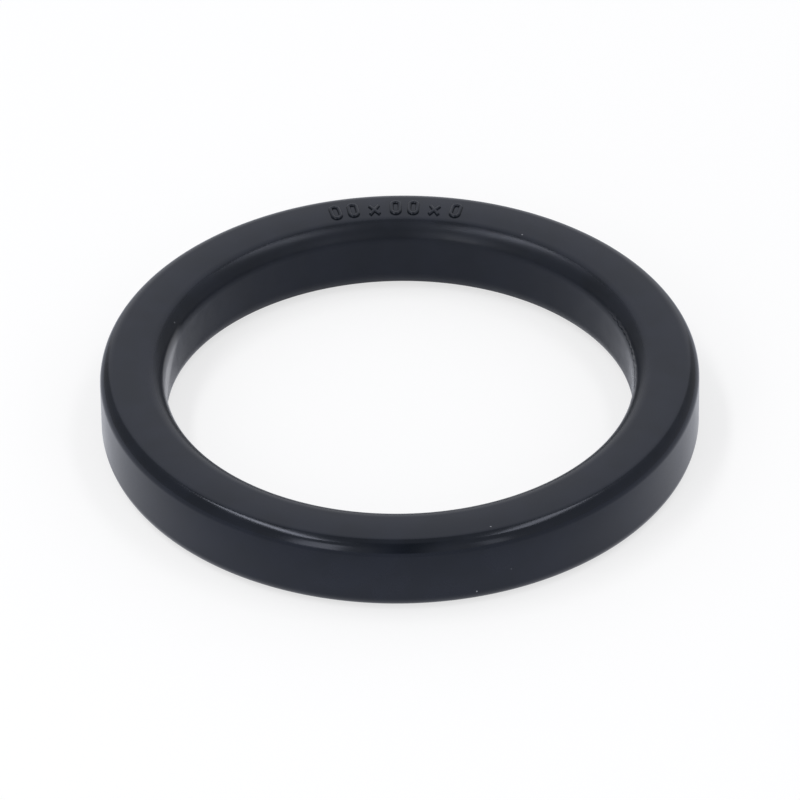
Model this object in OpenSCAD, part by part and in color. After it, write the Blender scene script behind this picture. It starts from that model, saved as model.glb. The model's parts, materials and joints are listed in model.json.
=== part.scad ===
// Group head gasket: the rubber ring that seals a portafilter's basket against an espresso machine's group head.
// It is moulded in one piece, so the whole part is one solid, turned from one section about the Z axis.
// The origin is the centre of the hole on the lower face. The face that carries the raised marks looks up.

/* [Ring] */
// Outside diameter, which presses into the groove of the group head
outer_d = 73; // [68:0.5:90]
// Diameter of the hole, which grips the skirt of the shower screen
inner_d = 57; // [45:0.5:64]
// Thickness between the two flat sealing faces
thickness = 9.5; // [6:0.1:14]

/* [Edges] */
// Radius of the two edges round the outside
outer_edge_r = 1.75; // [0.2:0.05:3.5]
// Radius of the two edges round the hole, wider so that the screen's skirt slips in
inner_edge_r = 2.5; // [0.2:0.05:4.4]
// Least flat width left on a face or a wall between its two rounded edges
least_land = 0.4; // [0.1:0.1:1]

/* [Hidden] */
rim_r = outer_d / 2;
bore_r = inner_d / 2;
section_w = rim_r - bore_r;
// An edge is rounded no further than its own wall and face leave room for
widest_edge_r = (min(thickness, section_w) - least_land) / 2;
rim_edge = min(outer_edge_r, widest_edge_r);
bore_edge = min(inner_edge_r, thickness / 2 - least_land / 2, section_w - rim_edge - least_land);
face_w = section_w - rim_edge - bore_edge;
ring_facets = 256;
edge_facets = 64;

// One wall of the section: a straight wall between two quarter rounds, whose centres lie at that radius
module wall_with_rounded_edges(centre_radius, edge_r) {
    translate([centre_radius - edge_r, edge_r])
        square([2 * edge_r, thickness - 2 * edge_r]);
    for (centre_height = [edge_r, thickness - edge_r])
        translate([centre_radius, centre_height])
            circle(r = edge_r, $fn = edge_facets);
}

// The section as it would be drawn: the bore's wall, the flat faces, and the rim's wall
module ring_section() {
    wall_with_rounded_edges(bore_r + bore_edge, bore_edge);
    translate([bore_r + bore_edge, 0])
        square([face_w, thickness]);
    wall_with_rounded_edges(rim_r - rim_edge, rim_edge);
}

// The moulded rubber ring
module gasket() {
    color([0.16, 0.17, 0.19])
        rotate_extrude($fn = ring_facets)
            ring_section();
}

gasket();
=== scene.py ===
import json
import math

import bpy
from mathutils import Matrix, Vector


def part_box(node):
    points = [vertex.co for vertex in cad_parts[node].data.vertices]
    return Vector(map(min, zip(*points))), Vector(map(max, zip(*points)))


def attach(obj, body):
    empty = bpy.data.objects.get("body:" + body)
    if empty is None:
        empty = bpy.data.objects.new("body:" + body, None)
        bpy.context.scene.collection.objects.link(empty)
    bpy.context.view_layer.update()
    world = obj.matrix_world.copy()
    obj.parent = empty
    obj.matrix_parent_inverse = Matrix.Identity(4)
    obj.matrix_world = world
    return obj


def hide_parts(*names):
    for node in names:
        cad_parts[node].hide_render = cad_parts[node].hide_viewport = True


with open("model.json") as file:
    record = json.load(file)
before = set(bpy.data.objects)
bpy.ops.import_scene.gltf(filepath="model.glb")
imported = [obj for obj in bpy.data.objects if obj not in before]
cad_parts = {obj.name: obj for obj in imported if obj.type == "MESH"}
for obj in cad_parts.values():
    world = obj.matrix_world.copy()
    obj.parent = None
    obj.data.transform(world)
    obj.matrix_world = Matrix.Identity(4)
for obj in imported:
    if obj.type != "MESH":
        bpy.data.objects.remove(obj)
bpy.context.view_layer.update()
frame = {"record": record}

# Camera
# A long lens about a metre from the ring, which looks down on it from the front. A very small roll and
# shift set the ring as it stands in the picture. Lengths without a unit in their name are in metres.
PICTURE_SIDE_PX = 800
MM = 0.001
low_corner, high_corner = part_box("gasket")
ring_height = high_corner.z - low_corner.z
rim_radius = high_corner.x
mounts = {mount["name"]: mount for mount in frame["record"]["mounts"]}
bore_radius = mounts["bore"]["dims"]["r_mm"] * MM
ring_middle = (low_corner + high_corner) / 2

camera_distance = 0.9987
camera_elevation = math.radians(36.625)
camera_roll = math.radians(-0.75)
lens_mm = 368.2
sensor_side_mm = 36
ring_left_of_centre_px = 0.09
ring_above_centre_px = 5.73

bpy.ops.object.camera_add()
camera = bpy.context.object
camera.name = "camera"
camera.data.lens = lens_mm
camera.data.sensor_width = sensor_side_mm
camera.data.shift_x = ring_left_of_centre_px / PICTURE_SIDE_PX
camera.data.shift_y = -ring_above_centre_px / PICTURE_SIDE_PX
towards_camera = Vector((0, -math.cos(camera_elevation), math.sin(camera_elevation)))
looking_down = Matrix.Rotation(math.pi / 2 - camera_elevation, 4, "X")
camera.matrix_world = (
    Matrix.Translation(ring_middle + camera_distance * towards_camera)
    @ looking_down
    @ Matrix.Rotation(camera_roll, 4, "Z")
)
bpy.context.scene.camera = camera

# Rubber ring
# The gasket itself: one ring of black rubber, pressed in a heated mould, with two walls, two faces and
# four rounded edges. Its section is drawn as a plane, the corners are rounded, the upper face gets the
# faint crown that it has out of the mould, and the outline is spun round the axis.
rim_edge_radius = 1.75 * MM
bore_edge_radius = 2.5 * MM
face_crown = 0.05 * MM
CROWN_CUTS = 9
EDGE_SEGMENTS = 20
RING_STEPS = 384
WELD_DISTANCE = 0.001 * MM


def select_by_place(piece, part, wanted):
    """In edit mode, selects those vertices, edges or polygons of a piece that pass a test."""
    select_modes = {"vertices": "VERT", "edges": "EDGE", "polygons": "FACE"}
    bpy.ops.mesh.select_mode(type=select_modes[part])
    bpy.ops.mesh.select_all(action="DESELECT")
    bpy.ops.object.mode_set(mode="OBJECT")
    for item in getattr(piece.data, part):
        item.select = wanted(item)
    bpy.ops.object.mode_set(mode="EDIT")


bpy.ops.object.select_all(action="DESELECT")
section_middle = (bore_radius + rim_radius) / 2
bpy.ops.mesh.primitive_plane_add(
    size=1, location=(section_middle, 0, ring_middle.z), rotation=(math.pi / 2, 0, 0)
)
ring = bpy.context.object
ring.name = "gasket_ring"
ring.scale = (rim_radius - bore_radius, ring_height, 1)
bpy.ops.object.transform_apply(location=True, rotation=True, scale=True)

bpy.ops.object.mode_set(mode="EDIT")
select_by_place(ring, "vertices", lambda corner: corner.co.x < section_middle)
bpy.ops.mesh.bevel(offset=bore_edge_radius, segments=EDGE_SEGMENTS, affect="VERTICES")
select_by_place(ring, "vertices", lambda corner: corner.co.x > rim_radius - WELD_DISTANCE)
bpy.ops.mesh.bevel(offset=rim_edge_radius, segments=EDGE_SEGMENTS, affect="VERTICES")
face_start = bore_radius + bore_edge_radius
face_width = rim_radius - rim_edge_radius - face_start


def lies_along_upper_face(edge):
    """True for the long straight edge of the section that becomes the upper face."""
    ends = [ring.data.vertices[end].co for end in edge.vertices]
    on_top = all(end.z > high_corner.z - WELD_DISTANCE for end in ends)
    return on_top and (ends[0] - ends[1]).length > face_width / 2


select_by_place(ring, "edges", lies_along_upper_face)
bpy.ops.mesh.subdivide(number_cuts=CROWN_CUTS)
for cut in range(1, CROWN_CUTS + 1):
    share = cut / (CROWN_CUTS + 1)
    cut_place = Vector((face_start + share * face_width, 0, high_corner.z))
    select_by_place(ring, "vertices", lambda corner: (corner.co - cut_place).length < WELD_DISTANCE)
    # A parabola across the face, at the crown's full height halfway
    bpy.ops.transform.translate(value=(0, 0, 4 * face_crown * share * (1 - share)))
bpy.ops.mesh.select_all(action="SELECT")
bpy.ops.mesh.delete(type="ONLY_FACE")
bpy.ops.mesh.select_all(action="SELECT")
bpy.ops.mesh.spin(steps=RING_STEPS, angle=2 * math.pi, center=(0, 0, 0), axis=(0, 0, 1))
bpy.ops.mesh.select_all(action="SELECT")
bpy.ops.mesh.remove_doubles(threshold=WELD_DISTANCE)
bpy.ops.mesh.normals_make_consistent(inside=False)
bpy.ops.object.mode_set(mode="OBJECT")

# Raised marks
# A row of plain zeros and crosses on the upper face, moulded in one piece with the rubber. Each is drawn
# flat, raised with rounded top edges, set along the ring's back, and joined to the ring.
zero_height = 2.85 * MM
zero_width = 1.5 * MM
cross_height = 2.3 * MM
cross_width = 1.5 * MM
zero_stroke = 0.48 * MM
cross_stroke = 0.62 * MM
mark_relief = 0.21 * MM
mark_sunk = 0.25 * MM
mark_edge_radius = 0.19 * MM
ZERO_CORNERS = 28
MARK_EDGE_SEGMENTS = 4
LEAST_UPWARD_NORMAL = 0.5
MARKS = "00x00x0"
zero_to_zero = math.radians(3.9)
zero_to_cross = math.radians(4.7)
first_mark_angle = math.radians(103.7)
marks_radius = 32.6 * MM
cross_drop = 0.35 * MM
widest_smooth_edge = math.radians(30)
LARGE_FACE_WEIGHT = 100


def raise_mark(mark):
    """Turns a flat outline at the origin into a closed raised mark with rounded top edges."""
    bpy.ops.mesh.select_all(action="SELECT")
    bpy.ops.mesh.extrude_region_move(TRANSFORM_OT_translate={"value": (0, 0, mark_relief + mark_sunk)})
    bpy.ops.mesh.select_all(action="SELECT")
    bpy.ops.mesh.normals_make_consistent(inside=False)
    middle_height = (mark_relief + mark_sunk) / 2

    def is_top(face):
        """True for the faces on top, which look up and lie above the mark's middle."""
        return face.normal.z > LEAST_UPWARD_NORMAL and face.center.z > middle_height

    select_by_place(mark, "polygons", is_top)
    bpy.ops.mesh.region_to_loop()
    bpy.ops.mesh.bevel(offset=mark_edge_radius, segments=MARK_EDGE_SEGMENTS, affect="EDGES")
    bpy.ops.object.mode_set(mode="OBJECT")


def draw_zero():
    """A zero: a circle whose halves are drawn apart, with its inside cut away."""
    bpy.ops.mesh.primitive_circle_add(vertices=ZERO_CORNERS, radius=zero_width / 2, fill_type="NGON")
    zero = bpy.context.object
    straight_side = zero_height - zero_width
    bpy.ops.object.mode_set(mode="EDIT")
    select_by_place(zero, "vertices", lambda corner: corner.co.y > WELD_DISTANCE)
    bpy.ops.transform.translate(value=(0, straight_side / 2, 0))
    select_by_place(zero, "vertices", lambda corner: corner.co.y < WELD_DISTANCE)
    bpy.ops.transform.translate(value=(0, -straight_side / 2, 0))
    bpy.ops.mesh.select_all(action="SELECT")
    bpy.ops.mesh.inset(thickness=zero_stroke)
    bpy.ops.mesh.delete(type="FACE")
    raise_mark(zero)
    return zero


def draw_cross():
    """A cross: a small square whose four sides are pulled out into arms, turned by an eighth of a turn."""
    bpy.ops.mesh.primitive_plane_add(size=cross_stroke)
    cross = bpy.context.object
    arm_length = (cross_height * math.sqrt(2) - 2 * cross_stroke) / 2
    half_stroke = cross_stroke / 2
    corner_distance = half_stroke * math.sqrt(2)
    bpy.ops.object.mode_set(mode="EDIT")
    for side in (Vector((1, 0, 0)), Vector((-1, 0, 0)), Vector((0, 1, 0)), Vector((0, -1, 0))):

        def ends_arm(edge):
            """True for the side of the small square that the next arm starts from."""
            ends = [cross.data.vertices[end].co for end in edge.vertices]
            on_side = all(end.dot(side) > half_stroke - WELD_DISTANCE for end in ends)
            return on_side and all(end.length < corner_distance + WELD_DISTANCE for end in ends)

        select_by_place(cross, "edges", ends_arm)
        bpy.ops.mesh.extrude_region_move(TRANSFORM_OT_translate={"value": arm_length * side})
    bpy.ops.mesh.select_all(action="SELECT")
    bpy.ops.transform.rotate(value=math.radians(45), orient_axis="Z", center_override=(0, 0, 0))
    bpy.ops.transform.resize(value=(cross_width / cross_height, 1, 1))
    raise_mark(cross)
    return cross


mark_shapes = {"0": draw_zero(), "x": draw_cross()}
marks = []
mark_angle = first_mark_angle
for index, character in enumerate(MARKS):
    mark = mark_shapes[character].copy()
    mark.data = mark_shapes[character].data.copy()
    bpy.context.collection.objects.link(mark)
    mark_radius = marks_radius - (cross_drop if character == "x" else 0)
    mark.location = (
        mark_radius * math.cos(mark_angle),
        mark_radius * math.sin(mark_angle),
        high_corner.z + face_crown - mark_sunk,
    )
    mark.rotation_euler.z = mark_angle - math.pi / 2
    mark_angle -= zero_to_cross if "x" in MARKS[index:index + 2] else zero_to_zero
    marks.append(mark)
for shape in mark_shapes.values():
    bpy.data.objects.remove(shape)

bpy.ops.object.select_all(action="DESELECT")
for mark in marks:
    mark.select_set(True)
all_marks = marks[0]
bpy.context.view_layer.objects.active = all_marks
bpy.ops.object.transform_apply(location=True, rotation=True, scale=True)
bpy.ops.object.join()

bpy.ops.object.select_all(action="DESELECT")
ring.select_set(True)
bpy.context.view_layer.objects.active = ring
joining = ring.modifiers.new("marks", "BOOLEAN")
joining.operation = "UNION"
joining.solver = "EXACT"
joining.object = all_marks
bpy.ops.object.modifier_apply(modifier=joining.name)
bpy.data.objects.remove(all_marks)
bpy.ops.object.shade_smooth_by_angle(angle=widest_smooth_edge)
even_shading = ring.modifiers.new("flat faces stay flat", "WEIGHTED_NORMAL")
even_shading.mode = "FACE_AREA"
even_shading.weight = LARGE_FACE_WEIGHT
even_shading.keep_sharp = True
bpy.ops.object.modifier_apply(modifier=even_shading.name)


def linear(hex_colour):
    """The linear red, green, blue and alpha of an sRGB hex colour."""
    shares = [int(hex_colour[start:start + 2], 16) / 255 for start in (1, 3, 5)]
    return [s / 12.92 if s <= 0.04045 else ((s + 0.055) / 1.055) ** 2.4 for s in shares] + [1.0]


def empty_tree(owner):
    """Gives a material or a world a node tree with nothing in it."""
    owner.use_nodes = True
    owner.node_tree.nodes.clear()
    return owner.node_tree


def add_node(tree, kind, inputs=None, **settings):
    """Adds a node with its settings. An input goes by its name, or by its number where a name is shared,
    and gets a value, another node's output, or a node, which stands for its first output."""
    node = tree.nodes.new(kind)
    for name, value in settings.items():
        setattr(node, name, value)
    for name, value in (inputs or {}).items():
        source = value.outputs[0] if isinstance(value, bpy.types.Node) else value
        if isinstance(source, bpy.types.NodeSocket):
            tree.links.new(source, node.inputs[name])
        else:
            node.inputs[name].default_value = source
    return node


def distance_from_axis(tree, place):
    """How far a place is from the ring's axis."""
    flattened = add_node(tree, "ShaderNodeVectorMath", {0: place, 1: (1, 1, 0)}, operation="MULTIPLY")
    return add_node(tree, "ShaderNodeVectorMath", {0: flattened}, operation="LENGTH").outputs["Value"]


PATCH_DETAIL = 2.0
PATCHES_START = 0.35
PATCHES_FULL = 0.65
PATCHES_MIDDLE = 0.5


def patches(tree, place, size):
    """An uneven pattern from 0 to 1 whose patches are about as wide as the size given."""
    noise = add_node(
        tree, "ShaderNodeTexNoise", {"Vector": place, "Scale": 1 / size, "Detail": PATCH_DETAIL}
    )
    return add_node(
        tree,
        "ShaderNodeMapRange",
        {"Value": noise.outputs["Fac"], "From Min": PATCHES_START, "From Max": PATCHES_FULL},
        interpolation_type="SMOOTHSTEP",
    )


def overlap(tree, zone, *other_zones):
    """The zone that several share: their values multiplied."""
    for other in other_zones:
        zone = add_node(tree, "ShaderNodeMath", {0: zone, 1: other}, operation="MULTIPLY")
    return zone


# Moulded nitrile rubber: black with a breath of blue from its filler, and the satin of a polished mould.
# The bore and the marks are matter, but the bore's wall shines unevenly at a flat angle. Its left end
# carries a painted highlight, as sheen that shows at a flat angle. A ragged mould line runs along its right
# end, a groove darkened by painted shade with a painted highlight on its lip, and grains of dust lie about.
BLACK = "#12161C"
BLOOMED_BLACK = "#161A22"
DUST = "#A9ABB0"
COOL_WHITE = "#E8EDFF"
bloom_size = 5 * MM
POLISHED_ROUGHNESS = 0.165
BLOOMED_ROUGHNESS = 0.195
MORE_ROUGHNESS_IN_BORE = 0.24
MORE_ROUGHNESS_ON_MARKS = 0.12
rougher_from_radius = bore_radius + 0.2 * MM
RUBBER_IOR = 1.41
PLAIN_SPECULAR = 0.5
shine_patch_size = 1.8 * MM
LEAST_SHINE = 0.72
shine_end = 0.35 * MM
shine_fade = 0.5 * MM
shine_drop_at_back = 0.3 * MM
shine_drop_start = 12 * MM
shine_drop_full = 22 * MM
SHINE_ROUGHNESS = 0.12
SHINE_IOR = 1.13
# Where the painted highlight lies: sheen on the bore's left end that shows at a flat angle
painted_sheen_left = -27.7 * MM
painted_sheen_right = -26.3 * MM
PAINTED_SHEEN_SLANT = 0.55
painted_sheen_bottom = 1.4 * MM
painted_sheen_full = 3.2 * MM
painted_sheen_end_radius = bore_radius + 0.2 * MM
painted_sheen_fade = 0.25 * MM
PAINTED_SHEEN_IN_FRONT = 0.55
PAINTED_SHEEN_AT_BACK = 1.0
painted_sheen_depth = 8 * MM
PAINTED_SHEEN_ROUGHNESS = 0.4
mould_line_start = 25 * MM
mould_line_full = 27 * MM
mould_line_height = 7.86 * MM
mould_line_half_width = 0.12 * MM
mould_line_depth = 0.05 * MM
mould_line_wander = 0.25 * MM
mould_line_bend_size = 0.7 * MM
# The lip's sheen stripe is a painted highlight along the mould line
mould_line_lip_rise = 0.24 * MM
mould_line_lip_half_width = 0.12 * MM
MOULD_LINE_LIP_HIGHLIGHT = 0.5
# The groove's darkness is painted shade: its shine is cut down along the line
MOULD_LINE_PAINTED_SHADE = 0.9
dust_grain_radius = 0.13 * MM
DUST_GRAINS = (
    {"place_mm": (15.46, 26.57, 9.5), "paleness": 0.5},
    {"place_mm": (10.56, -32.9, 9.5), "paleness": 0.5},
    {"place_mm": (12.96, -34.12, 4.05), "paleness": 0.15},
    {"place_mm": (8.83, -35.42, 1.75), "paleness": 0.8},
    {"place_mm": (-27.55, 9.92, 8.8), "paleness": 0.3},
)
rubber = bpy.data.materials.new("moulded_black_nitrile_rubber")
tree = empty_tree(rubber)
place_on_object = add_node(tree, "ShaderNodeTexCoord").outputs["Object"]
along = add_node(tree, "ShaderNodeSeparateXYZ", {0: place_on_object}).outputs
axis_distance = distance_from_axis(tree, place_on_object)

# The shine on the bore's wall ends a little lower at the back
shine_drop = add_node(
    tree,
    "ShaderNodeMapRange",
    {
        "Value": along["Y"],
        "From Min": shine_drop_start,
        "From Max": shine_drop_full,
        "To Min": 0.0,
        "To Max": shine_drop_at_back,
    },
    interpolation_type="SMOOTHSTEP",
)
shine_distance = add_node(tree, "ShaderNodeMath", {0: axis_distance, 1: shine_drop}, operation="ADD")
in_bore = add_node(
    tree,
    "ShaderNodeMapRange",
    {
        "Value": shine_distance,
        "From Min": bore_radius + shine_end,
        "From Max": bore_radius + shine_end + shine_fade,
        "To Min": 1.0,
        "To Max": 0.0,
    },
    interpolation_type="SMOOTHSTEP",
)
towards_bore = add_node(
    tree,
    "ShaderNodeMapRange",
    {
        "Value": axis_distance,
        "From Min": rougher_from_radius,
        "From Max": face_start,
        "To Min": 1.0,
        "To Max": 0.0,
    },
    interpolation_type="SMOOTHSTEP",
)
on_marks = add_node(
    tree,
    "ShaderNodeMapRange",
    {"Value": along["Z"], "From Min": high_corner.z + face_crown, "From Max": high_corner.z + mark_relief},
    interpolation_type="SMOOTHSTEP",
)

# A mix of two colours takes its share in input 0 and the colours in 6 and 7, and gives output 2
bloom = patches(tree, place_on_object, bloom_size)
black = add_node(
    tree, "ShaderNodeMix", {0: bloom, 6: linear(BLACK), 7: linear(BLOOMED_BLACK)}, data_type="RGBA"
).outputs[2]
for grain in DUST_GRAINS:
    centre = tuple(MM * along_axis for along_axis in grain["place_mm"])
    to_grain = add_node(tree, "ShaderNodeVectorMath", {0: place_on_object, 1: centre}, operation="DISTANCE")
    on_grain = add_node(
        tree,
        "ShaderNodeMapRange",
        {
            "Value": to_grain.outputs["Value"],
            "From Min": dust_grain_radius / 2,
            "From Max": dust_grain_radius,
            "To Min": grain["paleness"],
            "To Max": 0.0,
        },
        interpolation_type="SMOOTHSTEP",
    )
    black = add_node(
        tree, "ShaderNodeMix", {0: on_grain, 6: black, 7: linear(DUST)}, data_type="RGBA"
    ).outputs[2]

# A painted highlight, as sheen, lies on the left end of the bore's wall, above a line that slants up
# towards the back
above_slant = add_node(
    tree, "ShaderNodeMath", {0: along["Y"], 1: -PAINTED_SHEEN_SLANT, 2: along["Z"]}, operation="MULTIPLY_ADD"
)
high_enough = add_node(
    tree,
    "ShaderNodeMapRange",
    {"Value": above_slant, "From Min": painted_sheen_bottom, "From Max": painted_sheen_full},
    interpolation_type="SMOOTHSTEP",
)
stronger_at_back = add_node(
    tree,
    "ShaderNodeMapRange",
    {
        "Value": along["Y"],
        "From Min": 0.0,
        "From Max": painted_sheen_depth,
        "To Min": PAINTED_SHEEN_IN_FRONT,
        "To Max": PAINTED_SHEEN_AT_BACK,
    },
    interpolation_type="SMOOTHSTEP",
)
far_left = add_node(
    tree,
    "ShaderNodeMapRange",
    {"Value": along["X"], "From Min": painted_sheen_left, "From Max": painted_sheen_right, "To Min": 1.0, "To Max": 0.0},
    interpolation_type="SMOOTHSTEP",
)
on_wall = add_node(
    tree,
    "ShaderNodeMapRange",
    {
        "Value": axis_distance,
        "From Min": painted_sheen_end_radius,
        "From Max": painted_sheen_end_radius + painted_sheen_fade,
        "To Min": 1.0,
        "To Max": 0.0,
    },
    interpolation_type="SMOOTHSTEP",
)
painted_sheen = overlap(tree, high_enough, stronger_at_back, far_left, on_wall)

# The mould line is a groove that wanders up and down, darkened with painted shade, and its lip just above
# it carries a painted highlight as a sheen stripe
bends = patches(tree, place_on_object, mould_line_bend_size)
wander = add_node(tree, "ShaderNodeMath", {0: bends, 1: PATCHES_MIDDLE}, operation="SUBTRACT")
line_middle = add_node(
    tree,
    "ShaderNodeMath",
    {0: wander, 1: mould_line_wander, 2: mould_line_height},
    operation="MULTIPLY_ADD",
)
above_line = add_node(tree, "ShaderNodeMath", {0: along["Z"], 1: line_middle}, operation="SUBTRACT")
above_lip = add_node(tree, "ShaderNodeMath", {0: above_line, 1: mould_line_lip_rise}, operation="SUBTRACT")
far_right = add_node(
    tree,
    "ShaderNodeMapRange",
    {"Value": along["X"], "From Min": mould_line_start, "From Max": mould_line_full},
    interpolation_type="SMOOTHSTEP",
)
at_right_end = overlap(tree, in_bore, far_right)
stripes = []
for above_stripe, half_width, strength in (
    (above_line, mould_line_half_width, 1.0),
    (above_lip, mould_line_lip_half_width, MOULD_LINE_LIP_HIGHLIGHT),
):
    off_stripe = add_node(tree, "ShaderNodeMath", {0: above_stripe}, operation="ABSOLUTE")
    stripe = add_node(
        tree,
        "ShaderNodeMapRange",
        {"Value": off_stripe, "From Min": 0.0, "From Max": half_width, "To Min": strength, "To Max": 0.0},
        interpolation_type="SMOOTHSTEP",
    )
    stripes.append(overlap(tree, at_right_end, stripe))
on_line, painted_lip_highlight = stripes
painted_sheen_weight = add_node(tree, "ShaderNodeMath", {0: painted_sheen, 1: painted_lip_highlight}, operation="ADD")
relief = add_node(
    tree, "ShaderNodeBump", {"Height": on_line, "Strength": 1.0, "Distance": mould_line_depth}, invert=True
)

# Painted shade in the mould line's groove: the shine and the coat drop along it
shine_under_painted_shade = add_node(
    tree,
    "ShaderNodeMapRange",
    {"Value": on_line, "To Min": 1.0, "To Max": 1 - MOULD_LINE_PAINTED_SHADE},
    interpolation_type="SMOOTHSTEP",
)
uneven_shine = add_node(
    tree,
    "ShaderNodeMapRange",
    {"Value": patches(tree, place_on_object, shine_patch_size), "To Min": LEAST_SHINE, "To Max": 1.0},
    interpolation_type="SMOOTHSTEP",
)
roughness = add_node(
    tree,
    "ShaderNodeMapRange",
    {"Value": bloom, "To Min": POLISHED_ROUGHNESS, "To Max": BLOOMED_ROUGHNESS},
    interpolation_type="SMOOTHSTEP",
)
for zone, more in ((towards_bore, MORE_ROUGHNESS_IN_BORE), (on_marks, MORE_ROUGHNESS_ON_MARKS)):
    roughness = add_node(
        tree, "ShaderNodeMath", {0: zone, 1: more, 2: roughness}, operation="MULTIPLY_ADD"
    )
specular = add_node(tree, "ShaderNodeMath", {0: shine_under_painted_shade, 1: PLAIN_SPECULAR}, operation="MULTIPLY")
skin = add_node(
    tree,
    "ShaderNodeBsdfPrincipled",
    {
        "Base Color": black,
        "Roughness": roughness,
        "IOR": RUBBER_IOR,
        "Specular IOR Level": specular,
        "Specular Tint": linear(COOL_WHITE),
        "Coat Weight": overlap(tree, in_bore, shine_under_painted_shade, uneven_shine),
        "Coat Roughness": SHINE_ROUGHNESS,
        "Coat IOR": SHINE_IOR,
        "Sheen Weight": painted_sheen_weight,
        "Sheen Roughness": PAINTED_SHEEN_ROUGHNESS,
        "Normal": relief,
        "Coat Normal": relief,
    },
)
add_node(tree, "ShaderNodeOutputMaterial", {"Surface": skin})
ring.data.materials.clear()
ring.data.materials.append(rubber)

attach(ring, "root")
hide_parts("gasket")

# Floor and room
# A wide pale sheet that the ring lies on, in a white room with a breath of blue. The picture shows the
# sheet as white, and it keeps the ring's soft shadow. What the rubber mirrors of it is brightest close
# round the ring, and at the back left inside the hole.
floor_side = 12
floor_gap = 0.02 * MM
PAPER = "#CCCFD7"
PAPER_IN_PICTURE = "#A0A0A0"
PLAIN_WHITE = "#FFFFFF"
ROOM_WHITE = "#F5F6FB"
PICTURE_GLOW = 0.67
GLOW_IN_HOLE = 0.08
GLOW_AT_RIM = 0.45
GLOW_FAR_OFF = 0.03
glow_reach = 15 * MM
glow_depth_in_hole = 5.5 * MM
GLOW_AT_BACK_LEFT = 0.2
back_left = (-26.5 * MM, 9.5 * MM, 0)
back_left_reach = 6.5 * MM
BACKDROP = 1.0
AMBIENT = 0.6


def seen_by(tree, *kinds):
    """1 for rays of the kinds named, as the Light Path node names them, and 0 for all others."""
    path = add_node(tree, "ShaderNodeLightPath")
    share = path.outputs[kinds[0]]
    for kind in kinds[1:]:
        share = add_node(tree, "ShaderNodeMath", {0: share, 1: path.outputs[kind]}, operation="MAXIMUM")
    return share


bpy.ops.object.select_all(action="DESELECT")
bpy.ops.mesh.primitive_plane_add(size=floor_side, location=(0, 0, -floor_gap))
floor = bpy.context.object
floor.name = "floor"
paper = bpy.data.materials.new("matt_white_paper")
tree = empty_tree(paper)
pictured = seen_by(tree, "Is Camera Ray")
paper_colour = add_node(
    tree, "ShaderNodeMix", {0: pictured, 6: linear(PAPER), 7: linear(PAPER_IN_PICTURE)}, data_type="RGBA"
).outputs[2]
sheet = add_node(tree, "ShaderNodeBsdfDiffuse", {"Color": paper_colour})
place_on_floor = add_node(tree, "ShaderNodeTexCoord").outputs["Object"]
from_axis = distance_from_axis(tree, place_on_floor)
outwards = add_node(
    tree,
    "ShaderNodeMapRange",
    {
        "Value": from_axis,
        "From Min": rim_radius,
        "From Max": rim_radius + glow_reach,
        "To Min": GLOW_AT_RIM,
        "To Max": GLOW_FAR_OFF,
    },
    interpolation_type="SMOOTHSTEP",
)
inwards = add_node(
    tree,
    "ShaderNodeMapRange",
    {
        "Value": from_axis,
        "From Min": bore_radius - glow_depth_in_hole,
        "From Max": rim_radius,
        "To Min": GLOW_IN_HOLE,
        "To Max": GLOW_AT_RIM,
    },
    interpolation_type="SMOOTHSTEP",
)
round_ring = add_node(tree, "ShaderNodeMath", {0: outwards, 1: inwards}, operation="MINIMUM")
from_back_left = add_node(
    tree, "ShaderNodeVectorMath", {0: place_on_floor, 1: back_left}, operation="DISTANCE"
).outputs["Value"]
at_back_left = add_node(
    tree,
    "ShaderNodeMapRange",
    {
        "Value": from_back_left,
        "From Min": 0.0,
        "From Max": back_left_reach,
        "To Min": GLOW_AT_BACK_LEFT,
        "To Max": 0.0,
    },
    interpolation_type="SMOOTHSTEP",
)
all_glow = add_node(tree, "ShaderNodeMath", {0: round_ring, 1: at_back_left}, operation="ADD")
in_mirrors = seen_by(tree, "Is Glossy Ray", "Is Transmission Ray")
mirrored = add_node(tree, "ShaderNodeMath", {0: in_mirrors, 1: all_glow}, operation="MULTIPLY")
glow_level = add_node(
    tree, "ShaderNodeMath", {0: pictured, 1: PICTURE_GLOW, 2: mirrored}, operation="MULTIPLY_ADD"
)
glow_colour = add_node(
    tree, "ShaderNodeMix", {0: pictured, 6: linear(ROOM_WHITE), 7: linear(PLAIN_WHITE)}, data_type="RGBA"
).outputs[2]
glow = add_node(tree, "ShaderNodeEmission", {"Color": glow_colour, "Strength": glow_level})
both = add_node(tree, "ShaderNodeAddShader", {0: sheet, 1: glow})
add_node(tree, "ShaderNodeOutputMaterial", {"Surface": both})
floor.data.materials.append(paper)

room = bpy.data.worlds.new("studio")
bpy.context.scene.world = room
tree = empty_tree(room)
white = add_node(tree, "ShaderNodeBackground", {"Color": linear(ROOM_WHITE), "Strength": BACKDROP})
dim = add_node(tree, "ShaderNodeBackground", {"Color": linear(ROOM_WHITE), "Strength": AMBIENT})
seen = seen_by(tree, "Is Camera Ray", "Is Glossy Ray", "Is Transmission Ray")
choice = add_node(tree, "ShaderNodeMixShader", {0: seen, 1: dim, 2: white})
add_node(tree, "ShaderNodeOutputWorld", {"Surface": choice})

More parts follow.
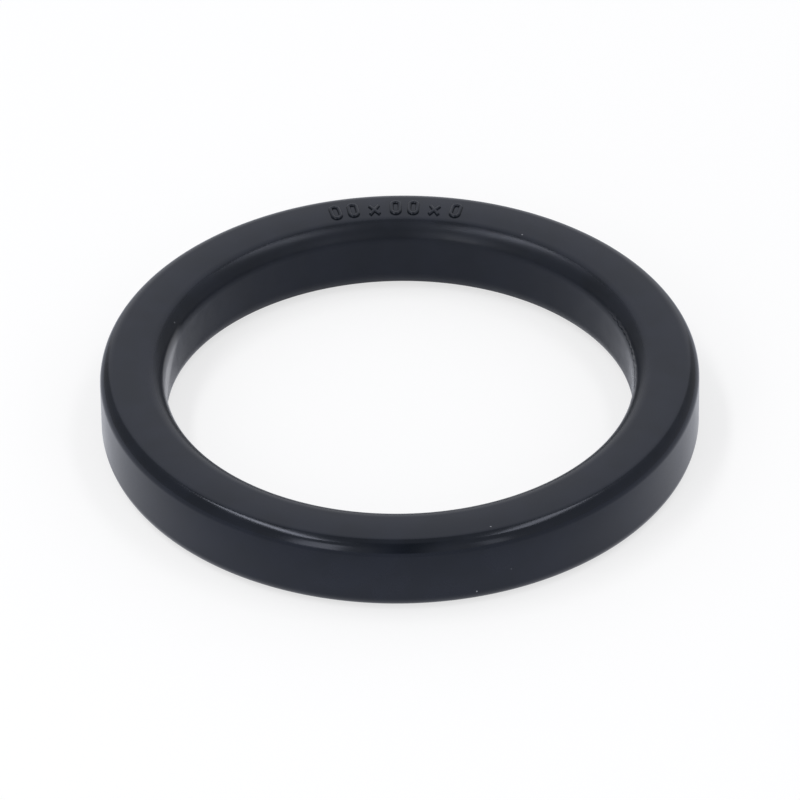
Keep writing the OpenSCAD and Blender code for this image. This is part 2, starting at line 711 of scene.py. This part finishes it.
# Cloth round the ring
# A photographer hangs grey cloth round a glossy black thing, so that its rounded edges read dark. It is
# open at the back, where the faces mirror the white room, and darkest where the camera looks through it.
# Only the ring's reflections see it, so its grey is given as a light of its own.
tent_radius = 1.6
TENT_SEGMENTS = 96
TENT_RINGS = 60
opening_side = math.radians(29)
opening_top = math.radians(63)
CLOTH_AT_SIDES_ENDS_AND_TOP = (0.42, 0.53, 0.38)
CLOTH_RISE_TO_RIGHT_BACK_AND_TOP = (0.04, -0.13, 0)
GAP_HALF_WIDTH = 0.25
GAP_FADES_FROM = -0.35
GAP_ENDS_AT = -0.05
bpy.ops.object.select_all(action="DESELECT")
bpy.ops.mesh.primitive_uv_sphere_add(segments=TENT_SEGMENTS, ring_count=TENT_RINGS, radius=tent_radius)
tent = bpy.context.object
tent.name = "grey_cloth"
bpy.ops.object.mode_set(mode="EDIT")


def outside_cloth(face):
    """True below the floor, and where the cloth is open at the back."""
    elevation = math.asin(face.center.z / face.center.length)
    from_back = math.atan2(face.center.x, face.center.y)
    return elevation < 0 or (elevation < opening_top and abs(from_back) < opening_side)


select_by_place(tent, "polygons", outside_cloth)
bpy.ops.mesh.delete(type="FACE")
bpy.ops.object.mode_set(mode="OBJECT")
cloth = bpy.data.materials.new("grey_cloth")
tree = empty_tree(cloth)
place_on_cloth = add_node(tree, "ShaderNodeTexCoord").outputs["Object"]
direction = add_node(tree, "ShaderNodeVectorMath", {0: place_on_cloth}, operation="NORMALIZE")
squares = add_node(tree, "ShaderNodeVectorMath", {0: direction, 1: direction}, operation="MULTIPLY")
even_grey = add_node(
    tree, "ShaderNodeVectorMath", {0: squares, 1: CLOTH_AT_SIDES_ENDS_AND_TOP}, operation="DOT_PRODUCT"
).outputs["Value"]
rise = add_node(
    tree,
    "ShaderNodeVectorMath",
    {0: direction, 1: CLOTH_RISE_TO_RIGHT_BACK_AND_TOP},
    operation="DOT_PRODUCT",
).outputs["Value"]
grey = add_node(tree, "ShaderNodeMath", {0: even_grey, 1: rise}, operation="ADD")
towards = add_node(tree, "ShaderNodeSeparateXYZ", {0: direction}).outputs
sideways = add_node(tree, "ShaderNodeMath", {0: towards["X"]}, operation="ABSOLUTE")
beside_gap = add_node(
    tree,
    "ShaderNodeMapRange",
    {"Value": sideways, "From Min": 0.0, "From Max": GAP_HALF_WIDTH},
    interpolation_type="SMOOTHSTEP",
)
behind_gap = add_node(
    tree,
    "ShaderNodeMapRange",
    {"Value": towards["Y"], "From Min": GAP_FADES_FROM, "From Max": GAP_ENDS_AT},
    interpolation_type="SMOOTHSTEP",
)
clear_of_gap = add_node(tree, "ShaderNodeMath", {0: beside_gap, 1: behind_gap}, operation="MAXIMUM")
cloth_level = add_node(tree, "ShaderNodeMath", {0: grey, 1: clear_of_gap}, operation="MULTIPLY")
cloth_skin = add_node(
    tree, "ShaderNodeEmission", {"Color": linear(PLAIN_WHITE), "Strength": cloth_level}
)
add_node(tree, "ShaderNodeOutputMaterial", {"Surface": cloth_skin})
tent.data.materials.append(cloth)
tent.visible_camera = False
tent.visible_diffuse = False
tent.visible_shadow = False

# Lights
# Two long soft boxes hang above the ring's left and right, lengthwise to the camera, and two tall narrow
# ones stand beside the camera. All of them are even and white. Turns and azimuths are in degrees, and an
# azimuth goes clockwise from the back.
LONG_BOXES = {
    "left_long_box": {"middle": (-0.352, -0.04), "size": (0.125, 0.666), "turn": 0.0, "radiance": 8.0},
    "right_long_box": {"middle": (0.35, 0.03), "size": (0.160, 0.521), "turn": 6.3, "radiance": 4.1},
}
long_box_height = 0.8
TALL_BOXES = {
    "left_tall_box": {"azimuth": 209.5, "width": 0.27, "foot": 0.0, "top": 0.80, "radiance": 2.7},
    "right_tall_box": {"azimuth": 147.5, "width": 0.14, "foot": 0.09, "top": 0.70, "radiance": 1.25},
}
tall_box_distance = 1.0


def add_soft_box(name, location, size, radiance):
    """A soft box: an even rectangle of light that shines along its own -Z."""
    bpy.ops.object.light_add(type="AREA", location=location)
    lamp = bpy.context.object
    lamp.name = name
    lamp.data.shape = "RECTANGLE"
    lamp.data.size, lamp.data.size_y = size
    lamp.data.energy = radiance * math.pi * size[0] * size[1]
    lamp.visible_camera = False
    return lamp


for name, box in LONG_BOXES.items():
    lamp = add_soft_box(name, (*box["middle"], long_box_height), box["size"], box["radiance"])
    lamp.rotation_euler.z = math.radians(box["turn"])
for name, box in TALL_BOXES.items():
    azimuth = math.radians(box["azimuth"])
    outward = Vector((math.sin(azimuth), math.cos(azimuth), 0))
    height = box["top"] - box["foot"]
    middle = tall_box_distance * outward + Vector((0, 0, box["foot"] + height / 2))
    lamp = add_soft_box(name, middle, (box["width"], height), box["radiance"])
    lamp.rotation_mode = "QUATERNION"
    lamp.rotation_quaternion = outward.to_track_quat("Z", "Y")

bpy.context.scene.view_settings.view_transform = "Standard"
